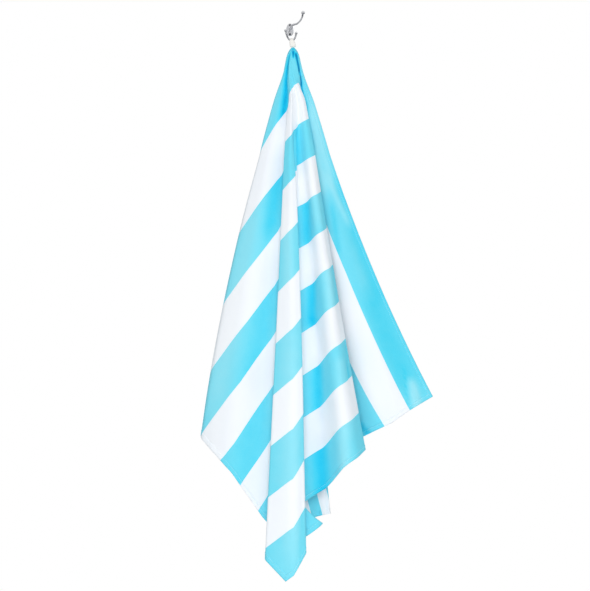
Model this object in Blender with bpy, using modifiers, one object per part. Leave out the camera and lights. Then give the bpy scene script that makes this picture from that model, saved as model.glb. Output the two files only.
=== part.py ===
"""A striped beach towel hanging by its loop from a small wall hook.

Metres, +Z up.  The wall is the plane y = 0 and the room is at -Y.  The origin is the
centre of the hook's flat back, where it is screwed to the wall.

The cloth is one rectangle.  A place on it is given by its distance from the loop and
its angle about the loop: 0 degrees is the near long edge of the left half and 180 the
near long edge of the right half.  The folds all run down from the loop.
"""
import math

import bmesh
import bpy
import numpy as np
from mathutils import Vector

MM = 0.001

# Driving dimensions: the cloth
TOWEL_LENGTH = 1.600
TOWEL_WIDTH = 0.900
CLOTH_THICK = 1.2 * MM
LOOP_OFF_MIDDLE = 33 * MM               # the loop is sewn nearer to the left end
APEX = Vector((6.6 * MM, -40 * MM, -41.3 * MM))     # where the cloth hangs from its loop
REACH_LEFT = TOWEL_LENGTH / 2 - LOOP_OFF_MIDDLE
REACH_RIGHT = TOWEL_LENGTH / 2 + LOOP_OFF_MIDDLE

# The fold table: a row for each fold, from the near edge of the left half round the
# front to the near edge of the right half.  Three values in a row are for the places
# 0.250, 0.575 and 0.900 m down from the loop.
#   angle   where the fold lies on the flat cloth, in degrees about the loop
#   across  how far it hangs to the right of the loop, in mm
#   out     how far it stands out from the wall, in mm
#   starts  how far down from the loop the fold is fully there, in m; 0 is all the way up
#   bend    the share of the cloth beside it that its rounding takes
#   hang    how much of the cloth's length it hangs down; the rest is slack behind
TABLE_PLACES = (0.250, 0.575, 0.900)
FOLD_TABLE = (
    # name          angle                  across                 out             starts  bend  hang
    ("left_edge",   (0.0, 0.0, 0.0),       (-44, -88, -128),      (12, 8, 8),       0.00, 0.00, 1.00),
    ("left_inner",  (11.0, 12.5, 13.0),    (-12, -14, -8),        (18, 15, 15),     0.12, 0.40, 1.01),
    ("left_side",   (20.0, 25.0, 28.3),    (-73.8, -152, -207),   (34, 46, 52),     0.00, 0.45, 1.02),
    ("left_swell",  (28.4, 32.6, 34.5),    (-50, -96, -132),      (50, 82, 100),    0.00, 0.90, 1.02),
    ("left_dip",    (34.8, 39.5, 41.0),    (-23, -44, -62),       (48, 76, 92),     0.00, 0.90, 1.02),
    ("tuck_one",    (43.0, 44.4, 44.6),    (-9, -14, -24),        (54.5, 86, 104),  0.16, 0.35, 1.01),
    ("lobe_left",   (50.3, 48.2, 47.5),    (-19.4, -33.7, -49.6), (61, 97, 117),    0.16, 0.40, 1.00),
    ("lobe_crest",  (55.5, 51.8, 50.5),    (-6, -2, 0),           (71, 114, 138),   0.00, 0.95, 1.00),
    ("lobe_right",  (59.5, 54.9, 53.8),    (4.4, 16.3, 23.6),     (66, 106, 126),   0.32, 0.40, 1.00),
    ("tuck_two",    (62.0, 57.0, 55.3),    (-4, -6, -18),         (61, 98, 117),    0.32, 0.35, 1.00),
    ("ear_fold",    (63.5, 58.6, 57.1),    (1, 7, 12),            (57, 90, 108),    0.45, 0.40, 1.00),
    ("tuck_three",  (65.4, 61.4, 60.5),    (-5, -8, -12),         (52, 82, 99),     0.32, 0.35, 1.00),
    ("valley",      (71.0, 68.0, 66.8),    (17.6, 44, 65),        (50, 74, 82),     0.00, 0.75, 1.00),
    ("front_crest", (76.5, 74.5, 73.6),    (36, 79, 122),         (60, 96, 118),    0.00, 0.90, 0.99),
    ("front_side",  (81.0, 79.5, 78.5),    (48.5, 99, 155),       (50, 66, 78),     0.00, 0.50, 0.985),
    ("back_one",    (94.0, 94.0, 94.0),    (-18, -56, -88),       (42, 54, 58),     0.34, 0.25, 0.97),
    ("back_two",    (106.0, 106.0, 106.0), (30, 62, 90),          (36.5, 46, 49),   0.34, 0.25, 0.94),
    ("back_three",  (124.0, 123.0, 121.0), (-26, -56, -60),       (31, 38, 40),     0.34, 0.25, 0.88),
    ("far_corner",  (133.0, 132.8, 132.8), (3, 0, -2),            (27, 32, 33.5),   0.34, 0.40, 0.87),
    ("back_four",   (145.0, 145.0, 144.9), (24, 36, 70),          (22.5, 25, 26),   0.34, 0.25, 1.02),
    ("right_inner", (151.0, 152.0, 152.0), (6, 8, 12),            (17, 16, 16),     0.34, 0.25, 1.00),
    ("right_dip",   (158.0, 160.0, 160.4), (26, 44, 100),         (13, 10, 11),     0.00, 0.80, 1.02),
    ("right_crest", (169.0, 170.8, 169.6), (46, 137, 234),        (26, 48, 58),     0.00, 0.90, 1.02),
    ("right_edge",  (180.0, 180.0, 180.0), (81.5, 198, 341),      (22, 28, 34),     0.00, 0.00, 1.00),
)
FOLD_NAMES = [row[0] for row in FOLD_TABLE]
LAST_FOLD = len(FOLD_TABLE) - 1

# Low down, two folds behind the middle lobe turn out sideways in a small pointed ear.
EAR_STARTS = 0.995
EAR_ENDS = 1.073
EAR_FLIPS = (("ear_fold", 49 * MM), ("tuck_two", 24 * MM))
EAR_CURVE = 1.3
EAR_REACH = 1.3

# The bunched top: the cloth leaves the loop as a small dome, and its folds start below.
DOME_ROUND = 7 * MM
DOME_HALF_WIDTH = 13 * MM
DOME_HALF_DEPTH = 10 * MM
DOME_WIDENS = 0.19
DOME_DEEPENS = 0.10
FOLDS_START = 15 * MM
FOLDS_FULL = 130 * MM
TOP_SPREAD = 0.85                       # the power by which the folds run in to the loop

# How finely the cloth is worked out
SECTION_STEP = 10 * MM
SECTION_REACH = 1.26
BEND_POINTS = 6                         # along the cloth in each half of a bend
STRAIGHT_POINTS = 4                     # and between two bends
PANEL_POINTS = 2 * BEND_POINTS + STRAIGHT_POINTS
LAST_POINT = LAST_FOLD * PANEL_POINTS
EDGE_SHARE = 0.1                        # points crowd this near the cloth's own edges
ROUNDING_PASSES = 16
HAIRPIN_ROUND = 0.40                    # of the depth between two layers
LEAST_BEND = 0.20                       # of a panel, for the points beside a fold not yet started
FOLD_COLUMNS = (-6, -2, 2, 6)           # the points beside a fold that get a mesh column
LONG_PANEL = 60                         # mm across; past it a panel gets one at its middle
ROW_COUNT = 33
ROW_CROWDING = 1.6                      # rows lie closer near the loop
THIN_ROWS = ((4, 9.0), (7, 4.0))        # down to this row, columns are this many degrees apart
THIN_PLACE = 50 * MM

# The loop: a white tape, over the hook's saddle and back down to the cloth
TAPE_THICK = 1.2 * MM
TAPE_WIDTH_TOP = 6.0 * MM
TAPE_WIDTH_LOW = 12.0 * MM
LOOP_HALF_DEPTH = 4.2 * MM
GAP = 0.3 * MM

# The hook
PLATE_WIDTH = 17 * MM
PLATE_HEIGHT = 28 * MM
PLATE_THICK = 3 * MM
PLATE_EDGE = 0.9 * MM
HUB_RADIUS = 5 * MM
HUB_LENGTH = 9 * MM
ROD_RADIUS = 2.0 * MM
BALL_RADIUS = 4.2 * MM
TIP_RADIUS = 3.2 * MM
SADDLE = Vector((3.4 * MM, -40 * MM, -24.5 * MM))
SCREW_HEIGHTS = (10.0 * MM, -10.0 * MM)
SCREW_RADIUS = 2.2 * MM
SCREW_DEPTH = 1.0 * MM
SLOT_WIDTH = 0.7 * MM
SLOT_DEPTH = 0.5 * MM


# ---------------------------------------------------------------- scene helpers

def clear_scene():
    for old in list(bpy.data.objects):
        bpy.data.objects.remove(old, do_unlink=True)


def collection(name):
    group = bpy.data.collections.new(name)
    bpy.context.scene.collection.children.link(group)
    return group


def material(name, colour, roughness, metallic=0.0):
    made = bpy.data.materials.new(name)
    made.use_nodes = True
    shader = made.node_tree.nodes["Principled BSDF"]
    shader.inputs["Base Color"].default_value = (*colour, 1.0)
    shader.inputs["Roughness"].default_value = roughness
    shader.inputs["Metallic"].default_value = metallic
    return made


def mesh_object(name, points, faces, group):
    mesh = bpy.data.meshes.new(name)
    mesh.from_pydata([tuple(point) for point in points], [], faces)
    mesh.update()
    made = bpy.data.objects.new(name, mesh)
    group.objects.link(made)
    return made


def take_primitive(name, group):
    made = bpy.context.object
    made.name = name
    made.data.name = name
    for held in list(made.users_collection):
        held.objects.unlink(made)
    group.objects.link(made)
    return made


def join_into(body, other, operation="UNION"):
    """A Boolean of other on body; other stays behind as a hidden cutter."""
    change = body.modifiers.new(other.name, "BOOLEAN")
    change.operation = operation
    change.solver = "EXACT"
    change.object = other
    other.hide_render = True
    other.display_type = "WIRE"


def rod(name, points, radii, group):
    """A round tapering rod along a smooth curve, as a closed mesh."""
    curve = bpy.data.curves.new(name, "CURVE")
    curve.dimensions = "3D"
    curve.bevel_depth = 1.0
    curve.bevel_resolution = 3
    curve.resolution_u = 5
    curve.use_fill_caps = True
    spline = curve.splines.new("BEZIER")
    spline.bezier_points.add(len(points) - 1)
    for place, point, radius in zip(spline.bezier_points, points, radii):
        place.co = point
        place.radius = radius
        place.handle_left_type = "AUTO"
        place.handle_right_type = "AUTO"
    guide = bpy.data.objects.new(name + "_curve", curve)
    group.objects.link(guide)
    bpy.context.view_layer.update()
    shape = bpy.data.meshes.new_from_object(guide.evaluated_get(bpy.context.evaluated_depsgraph_get()))
    weld = bmesh.new()
    weld.from_mesh(shape)
    bmesh.ops.remove_doubles(weld, verts=weld.verts, dist=0.00001)
    weld.to_mesh(shape)
    weld.free()
    made = bpy.data.objects.new(name, shape)
    made.matrix_world = guide.matrix_world
    group.objects.link(made)
    bpy.data.objects.remove(guide, do_unlink=True)
    return made


# ---------------------------------------------------------------- the hanging cloth

def soft_step(value):
    value = np.clip(value, 0.0, 1.0)
    return value * value * (3.0 - 2.0 * value)


def along_fold(values, down):
    """A parabola through a fold's three values, carried straight on beyond the last."""
    near, middle, far = values
    step = TABLE_PLACES[1] - TABLE_PLACES[0]
    reach = min(max((down - TABLE_PLACES[0]) / step, 0.0), 2.0)
    bow = reach * (reach - 1.0) * (far - 2.0 * middle + near) / 2.0
    beyond = max(0.0, (down - TABLE_PLACES[2]) / step)
    return near + reach * (middle - near) + bow + beyond * (far - middle)


def fold_angles(down):
    held = min(down, TABLE_PLACES[2] + 0.05)
    return np.radians([along_fold(row[1], held) for row in FOLD_TABLE])


def fold_places(down):
    """Across and depth of every fold at one distance down from the loop."""
    spread = min(1.0, (down / TABLE_PLACES[0]) ** TOP_SPREAD)
    across = np.array([along_fold(row[2], down) for row in FOLD_TABLE]) * MM * spread
    ear = min(max((down - EAR_STARTS) / (EAR_ENDS - EAR_STARTS), 0.0), EAR_REACH) ** EAR_CURVE
    for fold, flip in EAR_FLIPS:
        across[FOLD_NAMES.index(fold)] += flip * ear
    out = np.array([along_fold(row[3], min(down, 1.0)) for row in FOLD_TABLE]) * MM
    out = -APEX.y + (out + APEX.y) * spread
    places = np.stack((across, -out), 1)
    starts = np.array([row[4] for row in FOLD_TABLE])
    order = np.arange(LAST_FOLD + 1)
    for axis in range(2):
        straight = np.interp(order, order[starts == 0.0], places[starts == 0.0, axis])
        there = soft_step(2.0 * down / np.maximum(starts, MM) - 1.0)
        places[:, axis] = straight + (places[:, axis] - straight) * there
    return places


def bend_shares(half_bend, lengths):
    """Where the points lie along each panel: crowded in its bends, few between them."""
    start = np.append(EDGE_SHARE, half_bend / lengths[1:])[:, None]
    end = np.append(half_bend / lengths[:-1], EDGE_SHARE)[:, None]
    point = np.arange(PANEL_POINTS + 1)
    in_start = np.clip(point / BEND_POINTS, 0.0, 1.0)
    between = np.clip((point - BEND_POINTS) / STRAIGHT_POINTS, 0.0, 1.0)
    in_end = np.clip((point - BEND_POINTS - STRAIGHT_POINTS) / BEND_POINTS, 0.0, 1.0)
    return start * in_start + (1.0 - start - end) * between + end * in_end


def pleated_section(down):
    """The cloth's plan there: straight panels between the folds, joined by round bends.

    Gives each point's place in the fold order as well."""
    places = fold_places(down)
    wanted = np.diff(places, axis=0)
    bends = np.array([row[5] for row in FOLD_TABLE[1:-1]])
    spans = np.hypot(wanted[:, 0], wanted[:, 1])
    shorter = np.minimum(spans[1:], spans[:-1])
    hairpin = wanted[1:, 0] * wanted[:-1, 0] < 0.0
    layer = np.minimum(np.abs(wanted[1:, 1]), np.abs(wanted[:-1, 1]))
    widest = np.where(hairpin, HAIRPIN_ROUND * layer, 1.0)
    aim = wanted.copy()
    for _ in range(ROUNDING_PASSES):
        lengths = np.hypot(aim[:, 0], aim[:, 1])
        heading = np.arctan2(aim[:, 1], aim[:, 0])
        turn = np.diff(heading)
        half_bend = np.minimum(bends * shorter, widest * np.abs(turn)) / 2.0
        half_bend = np.clip(half_bend, 1e-6, 0.48 * np.minimum(lengths[1:], lengths[:-1]))
        least = LEAST_BEND * np.minimum(lengths[1:], lengths[:-1])
        shares = bend_shares(np.maximum(half_bend, least), lengths)
        middle = (shares[:, 1:] + shares[:, :-1]) / 2.0 * lengths[:, None]
        course = np.repeat(heading[:, None], PANEL_POINTS, axis=1)
        into = np.clip(1.0 - middle[1:] / half_bend[:, None], 0.0, 1.0)
        onward = np.clip(1.0 - (lengths[:-1, None] - middle[:-1]) / half_bend[:, None], 0.0, 1.0)
        course[1:] -= turn[:, None] / 2.0 * into
        course[:-1] += turn[:, None] / 2.0 * onward
        steps = np.diff(shares, axis=1) * lengths[:, None]
        path = np.stack((np.cumsum(steps * np.cos(course)), np.cumsum(steps * np.sin(course))), 1)
        path = np.vstack(((0.0, 0.0), path))
        aim = aim + 0.7 * (wanted - np.diff(path[::PANEL_POINTS], axis=0))
    order = np.append((shares[:, :-1] + np.arange(LAST_FOLD)[:, None]).ravel(), LAST_FOLD)
    return path + places[0], order


def dome_section(down, angles):
    rounding = 1.0 - math.exp(-down / DOME_ROUND)
    half_width = DOME_HALF_WIDTH * rounding + DOME_WIDENS * down
    half_depth = DOME_HALF_DEPTH * rounding + DOME_DEEPENS * down
    return np.stack((-half_width * np.cos(angles), APEX.y - half_depth * np.sin(angles)), 1)


def hanging_field():
    """Sections all the way down: distances, and each point's angle, across, depth and height."""
    downs = np.arange(0.0, SECTION_REACH + SECTION_STEP / 2, SECTION_STEP)
    plans, angles, hangs = [], [], []
    for down in downs:
        down = max(down, 2 * MM)
        pleated, order = pleated_section(down)
        around = np.interp(order, np.arange(LAST_FOLD + 1), fold_angles(down))
        folded = soft_step((down - FOLDS_START) / (FOLDS_FULL - FOLDS_START))
        plans.append(dome_section(down, around) * (1.0 - folded) + pleated * folded)
        angles.append(around)
        hangs.append(np.interp(order, np.arange(LAST_FOLD + 1), [row[6] for row in FOLD_TABLE]))
    plans, angles = np.array(plans), np.array(angles)
    sideways = np.hypot(*np.moveaxis(np.diff(plans, axis=0), 2, 0))
    drop = np.sqrt(np.maximum(SECTION_STEP ** 2 - sideways ** 2, (0.15 * SECTION_STEP) ** 2))
    height = -np.vstack((np.zeros(LAST_POINT + 1), np.cumsum(drop, axis=0)))
    height *= 1.0 - (1.0 - np.array(hangs)) * soft_step(downs / 0.5)[:, None]
    return downs, angles, plans[:, :, 0], plans[:, :, 1], height


def corner_columns():
    """The columns that run down to the two far corners of the cloth."""
    found = []
    for reach in (REACH_LEFT, -REACH_RIGHT):
        angle = math.atan2(TOWEL_WIDTH, reach)
        distance = math.hypot(reach, TOWEL_WIDTH)
        order = pleated_section(distance)[1]
        around = np.interp(order, np.arange(LAST_FOLD + 1), fold_angles(distance))
        found.append(float(np.interp(angle, around, np.arange(LAST_POINT + 1))))
    return found


def cloth_points(columns, rows):
    """The cloth's middle surface: a line of points down the cloth for each column."""
    downs, angles, across, depth, height = hanging_field()
    made = []
    for column in columns:
        first = min(int(column), LAST_POINT - 1)
        share = column - first
        around, x, y, z = (field[:, first] * (1.0 - share) + field[:, first + 1] * share
                           for field in (angles, across, depth, height))
        over_width = downs * np.sin(around) / TOWEL_WIDTH
        over_left = downs * np.cos(around) / REACH_LEFT
        over_right = -downs * np.cos(around) / REACH_RIGHT
        hem = np.interp(1.0, np.maximum(over_width, np.maximum(over_left, over_right)), downs)
        at = hem * rows
        made.append(np.stack((APEX.x + np.interp(at, downs, x), np.interp(at, downs, y),
                              APEX.z + np.interp(at, downs, z)), 1))
    return np.array(made)


def mesh_columns():
    """Columns round every fold, at the middle of each long panel and to both far corners."""
    across = [row[2][1] for row in FOLD_TABLE]
    chosen = {0, LAST_POINT}
    for fold in range(1, LAST_FOLD):
        chosen.update(fold * PANEL_POINTS + offset for offset in FOLD_COLUMNS)
    for fold in range(LAST_FOLD):
        if abs(across[fold + 1] - across[fold]) > LONG_PANEL:
            chosen.add(fold * PANEL_POINTS + PANEL_POINTS // 2)
    corners = corner_columns()
    clear = [column for column in chosen if min(abs(column - corner) for corner in corners) > 1.0]
    return sorted(clear + corners)


def thinned(kept, columns, apart):
    """Of the kept columns, those at least so many degrees apart on the flat cloth."""
    order = np.interp(columns, np.arange(LAST_POINT + 1), pleated_section(THIN_PLACE)[1])
    around = np.degrees(np.interp(order, np.arange(LAST_FOLD + 1), fold_angles(THIN_PLACE)))
    fewer = [kept[0]]
    for index in kept[1:-1]:
        if around[index] - around[fewer[-1]] >= apart and around[kept[-1]] - around[index] >= apart:
            fewer.append(index)
    return fewer + [kept[-1]]


def towel_cloth(group):
    columns = mesh_columns()
    rows = np.linspace(0.0, 1.0, ROW_COUNT) ** ROW_CROWDING
    grid = cloth_points(columns, rows)
    kept = list(range(len(columns)))
    by_row = [kept] * ROW_COUNT
    for last, apart in reversed(THIN_ROWS):
        kept = thinned(kept, columns, apart)
        by_row[:last + 1] = [kept] * (last + 1)
    faces = []
    for row in range(ROW_COUNT - 1):
        for left, right in zip(by_row[row], by_row[row][1:]):
            low = [index for index in by_row[row + 1] if left <= index <= right]
            faces.append([right * ROW_COUNT + row, left * ROW_COUNT + row]
                         + [index * ROW_COUNT + row + 1 for index in low])
    made = mesh_object("towel_cloth", grid.reshape(-1, 3), faces, group)
    weld = bmesh.new()
    weld.from_mesh(made.data)
    loose = [vert for vert in weld.verts if not vert.link_faces]
    bmesh.ops.delete(weld, geom=loose, context="VERTS")
    bmesh.ops.remove_doubles(weld, verts=weld.verts, dist=0.00001)
    bmesh.ops.triangulate(weld, faces=weld.faces)
    weld.to_mesh(made.data)
    weld.free()
    made.data.shade_smooth()
    wall = made.modifiers.new("wall", "SOLIDIFY")
    wall.thickness = CLOTH_THICK
    wall.offset = 0.0
    made.data.materials.append(material("striped_microfibre", (0.12, 0.72, 0.95), 0.85))
    return made


# ---------------------------------------------------------------- the loop and the hook

def hanging_loop(group):
    """A tape band, narrow over the saddle and wider where it is sewn to the cloth."""
    top = SADDLE.z + ROD_RADIUS + GAP + TAPE_THICK / 2
    foot = APEX.z + CLOTH_THICK / 2 + GAP + TAPE_THICK / 2
    bow = LOOP_HALF_DEPTH
    side_top = top - bow
    outline = [(SADDLE.y + bow * math.cos(a), side_top + bow * math.sin(a))
               for a in np.linspace(0.0, math.pi, 9)]
    outline += [(SADDLE.y - 0.95 * bow, (side_top + foot) / 2), (SADDLE.y - 0.55 * bow, foot + 1.2 * MM),
                (SADDLE.y, foot), (SADDLE.y + 0.55 * bow, foot + 1.2 * MM),
                (SADDLE.y + 0.95 * bow, (side_top + foot) / 2)]
    points, faces = [], []
    for depth, height in outline:
        low = (top - height) / (top - foot)
        half = (TAPE_WIDTH_TOP + (TAPE_WIDTH_LOW - TAPE_WIDTH_TOP) * soft_step(low)) / 2
        middle = SADDLE.x + (APEX.x - SADDLE.x) * low
        points += [(middle - half, depth, height), (middle + half, depth, height)]
    for i in range(len(outline)):
        following = (i + 1) % len(outline)
        faces.append((2 * i, 2 * i + 1, 2 * following + 1, 2 * following))
    made = mesh_object("hanging_loop", points, faces, group)
    made.data.shade_smooth()
    tape = made.modifiers.new("tape", "SOLIDIFY")
    tape.thickness = TAPE_THICK
    tape.offset = 0.0
    made.data.materials.append(material("white_tape", (0.90, 0.90, 0.88), 0.80))
    return made


def ball(name, centre, radius, group):
    bpy.ops.mesh.primitive_uv_sphere_add(segments=20, ring_count=12, radius=radius, location=centre)
    return take_primitive(name, group)


def wall_hook(group, cutters):
    """The plate with its hub, one long upper arm and a low saddle between two prongs."""
    bpy.ops.mesh.primitive_cylinder_add(vertices=48, radius=0.5, depth=PLATE_THICK,
                                        location=(0.0, -PLATE_THICK / 2, 0.0), rotation=(math.pi / 2, 0, 0))
    made = take_primitive("wall_hook", group)
    made.scale = (PLATE_WIDTH, PLATE_HEIGHT, 1.0)
    bpy.ops.object.transform_apply(location=True, rotation=True, scale=True)
    rim = made.modifiers.new("rim", "BEVEL")
    rim.width = PLATE_EDGE
    rim.segments = 2
    rim.limit_method = "ANGLE"
    bpy.ops.mesh.primitive_cylinder_add(vertices=32, radius=HUB_RADIUS, depth=HUB_LENGTH,
                                        location=(0.0, -PLATE_THICK / 2 - HUB_LENGTH / 2, 0.0),
                                        rotation=(math.pi / 2, 0, 0))
    hub = take_primitive("hub", cutters)
    hub_front = -PLATE_THICK / 2 - HUB_LENGTH + 3 * MM
    upper = rod("upper_arm", [(0, hub_front, 0), (5 * MM, -20 * MM, 9 * MM), (17 * MM, -33 * MM, 13 * MM),
                              (26 * MM, -43 * MM, 24 * MM), (28.5 * MM, -48 * MM, 34 * MM)],
                [3.2 * MM, 2.6 * MM, 2.1 * MM, 1.9 * MM, 2.1 * MM], cutters)
    stem = rod("stem", [(-1 * MM, hub_front, -1 * MM), (-4 * MM, -19 * MM, -8 * MM),
                        (-6.5 * MM, -31 * MM, -15 * MM), (-6.0 * MM, SADDLE.y, -16.5 * MM)],
               [3.2 * MM, 2.6 * MM, 2.2 * MM, 2.0 * MM], cutters)
    saddle = rod("saddle", [(-9.5 * MM, -47 * MM, -4.5 * MM), (-7.5 * MM, -42.5 * MM, -13 * MM),
                            (SADDLE.x - 6.8 * MM, SADDLE.y, SADDLE.z + 3.4 * MM),
                            (SADDLE.x - 3.2 * MM, SADDLE.y, SADDLE.z),
                            (SADDLE.x + 3.2 * MM, SADDLE.y, SADDLE.z),
                            (SADDLE.x + 6.8 * MM, SADDLE.y, SADDLE.z + 3.4 * MM),
                            (12.5 * MM, -43.5 * MM, -15.5 * MM), (13.5 * MM, -47 * MM, -10.5 * MM)],
                 [2.2 * MM, 2.0 * MM, ROD_RADIUS, ROD_RADIUS, ROD_RADIUS, ROD_RADIUS, 2.0 * MM, 2.2 * MM],
                 cutters)
    parts = [hub, upper, stem, saddle,
             ball("upper_ball", (28.8 * MM, -49 * MM, 35.5 * MM), BALL_RADIUS, cutters),
             ball("left_tip", (-9.8 * MM, -47.5 * MM, -3.8 * MM), TIP_RADIUS, cutters),
             ball("right_tip", (13.7 * MM, -47.5 * MM, -9.8 * MM), TIP_RADIUS, cutters)]
    for part in parts:
        join_into(made, part)
    for height in SCREW_HEIGHTS:
        bpy.ops.mesh.primitive_cylinder_add(vertices=24, radius=SCREW_RADIUS + GAP,
                                            depth=2 * SCREW_DEPTH, location=(0.0, -PLATE_THICK, height),
                                            rotation=(math.pi / 2, 0, 0))
        join_into(made, take_primitive("screw_seat", cutters), "DIFFERENCE")
    made.data.shade_smooth()
    made.data.set_sharp_from_angle(angle=math.radians(35))
    made.data.materials.append(material("polished_zinc_alloy", (0.60, 0.60, 0.62), 0.15, 1.0))
    return made


def plate_screw(name, height, group, cutters):
    depth = SCREW_DEPTH - GAP + 0.4 * MM
    bpy.ops.mesh.primitive_cylinder_add(vertices=24, radius=SCREW_RADIUS, depth=depth,
                                        location=(0.0, -PLATE_THICK + SCREW_DEPTH - GAP - depth / 2, height),
                                        rotation=(math.pi / 2, 0, 0))
    made = take_primitive(name, group)
    bpy.ops.mesh.primitive_cube_add(size=1.0, location=(0.0, -PLATE_THICK - 0.4 * MM, height),
                                    rotation=(0.0, math.radians(28), 0.0))
    slot = take_primitive(name + "_slot", cutters)
    slot.scale = (3 * SCREW_RADIUS, 2 * SLOT_DEPTH, SLOT_WIDTH)
    join_into(made, slot, "DIFFERENCE")
    made.data.materials.append(material("screw_steel", (0.25, 0.25, 0.27), 0.30, 1.0))
    return made


def build():
    clear_scene()
    towel = collection("beach_towel_on_wall_hook")
    cutters = collection("cutters")
    towel_cloth(towel)
    hanging_loop(towel)
    wall_hook(towel, cutters)
    for name, height in zip(("screw_top", "screw_bottom"), SCREW_HEIGHTS):
        plate_screw(name, height, towel, cutters)
    bpy.context.view_layer.update()


build()
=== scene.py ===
"""The looks of a striped beach towel hanging by its tape loop from a small wall hook.

Metres, +Z up.  The wall is the plane y = 0 and the room is at -Y.

The cloth is one rectangle, 1.60 m long and 0.90 m wide.  A place on it is given by its
distance down from the loop and its angle about the loop: 0 is the near long edge of the
left half and 180 degrees the near long edge of the right half.  A table of folds, close
to the solid's, says how it hangs.  On that form come the smaller creases that the real
cloth shows, its turned hem and stitching, and the tape that it hangs by.
"""

import math

import bmesh
import bpy
import numpy as np
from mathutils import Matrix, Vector


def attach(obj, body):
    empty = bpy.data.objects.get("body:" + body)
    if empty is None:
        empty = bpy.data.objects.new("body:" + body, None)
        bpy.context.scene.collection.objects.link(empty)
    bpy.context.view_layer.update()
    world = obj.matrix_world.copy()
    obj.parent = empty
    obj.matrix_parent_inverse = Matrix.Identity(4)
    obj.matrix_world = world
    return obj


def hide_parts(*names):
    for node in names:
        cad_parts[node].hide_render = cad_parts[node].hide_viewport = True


MM = 0.001
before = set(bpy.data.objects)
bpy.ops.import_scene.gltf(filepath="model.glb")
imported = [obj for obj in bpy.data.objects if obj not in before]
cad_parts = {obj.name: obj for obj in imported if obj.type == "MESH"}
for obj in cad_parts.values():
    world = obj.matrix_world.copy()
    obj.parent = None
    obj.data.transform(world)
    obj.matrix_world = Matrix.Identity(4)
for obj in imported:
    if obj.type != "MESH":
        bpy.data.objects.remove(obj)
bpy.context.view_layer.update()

# ---- sizes

TOWEL_LENGTH = 1.600
TOWEL_WIDTH = 0.900
CLOTH_THICK = 1.2 * MM
LOOP_OFF_MIDDLE = 33 * MM
APEX = Vector((6.6 * MM, -40 * MM, -41.3 * MM))     # where the loop is sewn on
REACH_LEFT = TOWEL_LENGTH / 2 - LOOP_OFF_MIDDLE
REACH_RIGHT = TOWEL_LENGTH / 2 + LOOP_OFF_MIDDLE
STRIPES = 11                 # six blue and five white, blue at both long edges
STRIPE = TOWEL_WIDTH / STRIPES
DYE_CREEP = 1.0 * MM         # how much a stripe's edge wanders in all
EDGE_SOFT = 0.3 * MM         # half the width that it fades over

# The folds, in order round the loop.  Angle (degrees), across and out from the wall (mm)
# are given at three places down from the loop (m).  A fold starts some way down (m), its
# bend takes up a share of the panels beside it, and it hangs a share of its length.
TABLE_PLACES = (0.250, 0.575, 0.900)
FOLD_TABLE = (
    # name          angle                  across                 out             starts  bend  hang
    ("left_edge",   (0.0, 0.0, 0.0),       (-44, -88, -128),      (12, 8, 8),       0.00, 0.00, 1.00),
    ("left_inner",  (11.0, 12.5, 13.0),    (-12, -14, -8),        (18, 15, 15),     0.12, 0.40, 1.01),
    ("left_side",   (19.2, 24.3, 27.9),    (-73.8, -152, -207),   (34, 46, 52),     0.00, 0.45, 1.02),
    ("left_swell",  (28.4, 32.6, 34.5),    (-50, -96, -132),      (50, 82, 100),    0.00, 0.90, 1.02),
    ("left_dip",    (34.8, 39.5, 41.0),    (-23, -44, -62),       (48, 76, 92),     0.00, 0.90, 1.02),
    ("tuck_one",    (43.0, 44.4, 44.6),    (-9, -14, -24),        (54.5, 86, 104),  0.16, 0.35, 1.01),
    ("lobe_left",   (50.3, 48.2, 47.5),    (-19.4, -33.7, -49.6), (61, 97, 117),    0.16, 0.40, 1.00),
    ("lobe_crest",  (55.5, 51.8, 50.5),    (-6, -2, 0),           (71, 114, 138),   0.00, 0.95, 1.00),
    ("lobe_right",  (59.5, 54.9, 53.8),    (4.4, 16.3, 23.6),     (66, 106, 126),   0.32, 0.40, 1.00),
    ("tuck_two",    (62.0, 57.0, 55.3),    (-4, -6, -18),         (61, 98, 117),    0.32, 0.35, 1.00),
    ("ear_fold",    (63.5, 58.6, 57.1),    (1, 7, 12),            (57, 90, 108),    0.45, 0.40, 1.00),
    ("tuck_three",  (65.4, 61.4, 60.5),    (-5, -8, -12),         (52, 82, 99),     0.32, 0.35, 1.00),
    ("valley",      (71.0, 68.0, 66.8),    (17.6, 44, 65),        (50, 74, 82),     0.00, 0.75, 1.00),
    ("front_crest", (76.5, 74.5, 73.6),    (36, 79, 122),         (60, 96, 118),    0.00, 0.90, 0.99),
    ("front_side",  (81.0, 79.5, 78.5),    (48.5, 99, 155),       (50, 66, 78),     0.00, 0.50, 0.985),
    ("back_one",    (94.0, 94.0, 94.0),    (-18, -56, -88),       (42, 54, 58),     0.34, 0.25, 0.97),
    ("back_two",    (106.0, 106.0, 106.0), (30, 62, 90),          (36.5, 46, 49),   0.34, 0.25, 0.94),
    ("back_three",  (124.0, 123.0, 121.0), (-26, -56, -60),       (31, 38, 40),     0.34, 0.25, 0.88),
    ("far_corner",  (133.0, 132.8, 132.8), (3, 0, -2),            (27, 32, 33.5),   0.34, 0.40, 0.87),
    ("back_four",   (145.0, 145.0, 144.9), (24, 36, 70),          (22.5, 25, 26),   0.34, 0.25, 1.02),
    ("right_inner", (151.0, 152.0, 152.0), (6, 8, 12),            (17, 16, 16),     0.34, 0.25, 1.00),
    ("right_dip",   (158.0, 160.0, 160.4), (26, 44, 100),         (13, 10, 11),     0.00, 0.80, 1.02),
    ("right_crest", (169.0, 170.8, 169.6), (46, 137, 234),        (26, 48, 58),     0.00, 0.90, 1.02),
    ("right_edge",  (180.0, 180.0, 180.0), (81.5, 198, 341),      (22, 28, 34),     0.00, 0.00, 1.00),
)
FOLD_NAMES = [row[0] for row in FOLD_TABLE]
LAST_FOLD = len(FOLD_TABLE) - 1
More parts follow.
